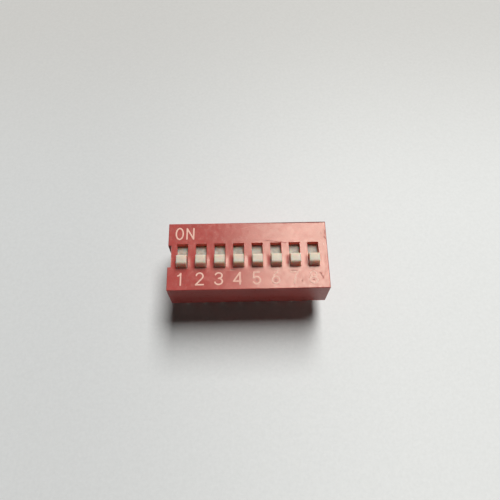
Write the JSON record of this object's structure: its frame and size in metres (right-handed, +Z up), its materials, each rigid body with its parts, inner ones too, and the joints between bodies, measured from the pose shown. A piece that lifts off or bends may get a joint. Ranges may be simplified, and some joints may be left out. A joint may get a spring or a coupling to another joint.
{
  "type": "dip switch",
  "caption": "Through-hole DIP switch: red housing with a row of cream slide levers, each bridging a pair of pins when slid to ON.",
  "frame": {"origin": "centre of the pin pattern, on the seating plane where the housing's underside rests on the board", "axes": "+X along the row of switches, from number 1 to the highest number; +Y towards the ON side; +Z up, away from the board"},
  "size_m": [0.0218, 0.0098, 0.0099],
  "materials": {
    "red_housing": "moulded, semi-gloss",
    "cream_slider": "moulded, semi-gloss",
    "gilt_contact": "gold-plated spring strip",
    "tinned_terminal": "tin-plated strip"
  },
  "bodies": {
    "housing": {"cover": "red_housing", "base": "red_housing", "terminal_1": "tinned_terminal", "terminal_2": "tinned_terminal", "terminal_3": "tinned_terminal", "terminal_4": "tinned_terminal", "terminal_5": "tinned_terminal", "terminal_6": "tinned_terminal", "terminal_7": "tinned_terminal", "terminal_8": "tinned_terminal", "terminal_9": "tinned_terminal", "terminal_10": "tinned_terminal", "terminal_11": "tinned_terminal", "terminal_12": "tinned_terminal", "terminal_13": "tinned_terminal", "terminal_14": "tinned_terminal", "terminal_15": "tinned_terminal", "terminal_16": "tinned_terminal"},
    "lever_1": {"slider_1": "cream_slider", "contact_1": "gilt_contact"},
    "lever_2": {"slider_2": "cream_slider", "contact_2": "gilt_contact"},
    "lever_3": {"slider_3": "cream_slider", "contact_3": "gilt_contact"},
    "lever_4": {"slider_4": "cream_slider", "contact_4": "gilt_contact"},
    "lever_5": {"slider_5": "cream_slider", "contact_5": "gilt_contact"},
    "lever_6": {"slider_6": "cream_slider", "contact_6": "gilt_contact"},
    "lever_7": {"slider_7": "cream_slider", "contact_7": "gilt_contact"},
    "lever_8": {"slider_8": "cream_slider", "contact_8": "gilt_contact"}
  },
  "joints": [
    {"name": "lever_1_slide", "type": "slide", "parent": "housing", "child": "lever_1", "axis": [0, 1, 0], "range_m": [0, 0.0017]},
    {"name": "lever_2_slide", "type": "slide", "parent": "housing", "child": "lever_2", "axis": [0, 1, 0], "range_m": [0, 0.0017]},
    {"name": "lever_3_slide", "type": "slide", "parent": "housing", "child": "lever_3", "axis": [0, 1, 0], "range_m": [0, 0.0017]},
    {"name": "lever_4_slide", "type": "slide", "parent": "housing", "child": "lever_4", "axis": [0, 1, 0], "range_m": [0, 0.0017]},
    {"name": "lever_5_slide", "type": "slide", "parent": "housing", "child": "lever_5", "axis": [0, 1, 0], "range_m": [0, 0.0017]},
    {"name": "lever_6_slide", "type": "slide", "parent": "housing", "child": "lever_6", "axis": [0, 1, 0], "range_m": [0, 0.0017]},
    {"name": "lever_7_slide", "type": "slide", "parent": "housing", "child": "lever_7", "axis": [0, 1, 0], "range_m": [0, 0.0017]},
    {"name": "lever_8_slide", "type": "slide", "parent": "housing", "child": "lever_8", "axis": [0, 1, 0], "range_m": [0, 0.0017]}
  ]
}
